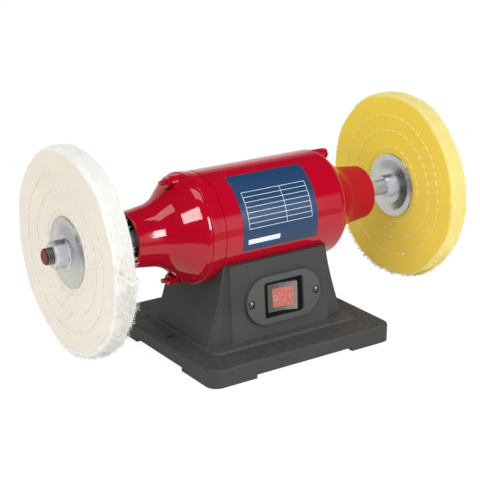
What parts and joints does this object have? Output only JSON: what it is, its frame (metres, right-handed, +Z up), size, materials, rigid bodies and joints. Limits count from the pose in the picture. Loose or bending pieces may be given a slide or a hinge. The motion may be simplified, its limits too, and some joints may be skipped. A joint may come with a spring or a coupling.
{
  "type": "bench buffer",
  "caption": "Double-ended bench buffer: motor on a cast pedestal with a rocker switch, and a stitched cloth wheel clamped on each end of a long spindle.",
  "frame": {"origin": "middle of the underside of the base, on the bench", "axes": "+X along the spindle to the right of someone at the switch, +Y to the rear, +Z up"},
  "size_m": [0.469, 0.205, 0.234],
  "materials": {
    "base_paint": "matte charcoal paint on cast iron",
    "motor_paint": "glossy red paint",
    "sheet_steel": "plain sheet",
    "steel": "ground",
    "zinc": "zinc plated",
    "dark_screw": "blackened",
    "plate_black": "matte",
    "switch_black": "satin",
    "rocker_red": "translucent",
    "block_white": "moulded",
    "capacitor_can": "drawn can",
    "cast_aluminium": "cast",
    "lamination": "stacked sheet",
    "copper": "enamelled wire",
    "brass": "bright",
    "rubber_black": "moulded",
    "cloth_white": "cut cotton cloth, stitched",
    "cloth_yellow": "treated cotton cloth, stitched"
  },
  "bodies": {
    "frame": {"base_casting": "base_paint", "bottom_cover": "sheet_steel", "bottom_cover_screws": "steel", "switch_plate": "plate_black", "switch_plate_screws": "dark_screw", "switch_housing": "switch_black", "switch_terminals": "brass", "run_capacitor": "capacitor_can", "capacitor_clip": "sheet_steel", "capacitor_clip_screws": "steel", "terminal_block": "block_white", "terminal_block_screws": "steel", "earth_screw": "brass", "cable_grommet": "rubber_black", "motor_shell": "motor_paint", "motor_weld_nuts": "steel", "motor_bolts": "steel", "through_bolts": "motor_paint", "through_bolt_washers": "motor_paint", "through_bolt_nuts": "motor_paint", "stator_core": "lamination", "stator_winding": "copper", "preload_washer": "steel", "end_bell_left": "motor_paint", "bearing_outer_race_left": "steel", "bearing_circlip_left": "steel", "bearing_seals_left": "rubber_black", "end_bell_right": "motor_paint", "bearing_outer_race_right": "steel", "bearing_circlip_right": "steel", "bearing_seals_right": "rubber_black"},
    "spindle": {"spindle": "steel", "rotor_core": "lamination", "rotor_ring_left": "cast_aluminium", "bearing_inner_race_left": "steel", "flange_collar_left": "zinc", "inner_flange_left": "zinc", "buffing_wheel_left": "cloth_white", "outer_flange_left": "zinc", "spindle_nut_left": "zinc", "rotor_ring_right": "cast_aluminium", "bearing_inner_race_right": "steel", "flange_collar_right": "zinc", "inner_flange_right": "zinc", "buffing_wheel_right": "cloth_yellow", "outer_flange_right": "zinc", "spindle_nut_right": "zinc"},
    "ball_set_left": {"bearing_balls_left": "steel", "bearing_cage_left": "steel"},
    "ball_set_right": {"bearing_balls_right": "steel", "bearing_cage_right": "steel"},
    "rocker": {"rocker": "rocker_red"}
  },
  "joints": [
    {"name": "spindle_spin", "type": "hinge", "parent": "frame", "child": "spindle", "pos_m": [0, 0, 0.132], "axis": [1, 0, 0], "continuous": true},
    {"name": "rocker_press", "type": "hinge", "parent": "frame", "child": "rocker", "pos_m": [0.0025, -0.05275, 0.05868], "axis": [0, 0.0762, 0.9971], "range_deg": [0, 22]},
    {"name": "ball_set_left_roll", "type": "hinge", "parent": "frame", "child": "ball_set_left", "pos_m": [0, 0, 0.132], "axis": [1, 0, 0], "continuous": true},
    {"name": "ball_set_right_roll", "type": "hinge", "parent": "frame", "child": "ball_set_right", "pos_m": [0, 0, 0.132], "axis": [1, 0, 0], "continuous": true}
  ],
  "couplings": [
    {"joint": "ball_set_left_roll", "follows": "spindle_spin", "ratio": 0.38175},
    {"joint": "ball_set_right_roll", "follows": "spindle_spin", "ratio": 0.38175}
  ]
}
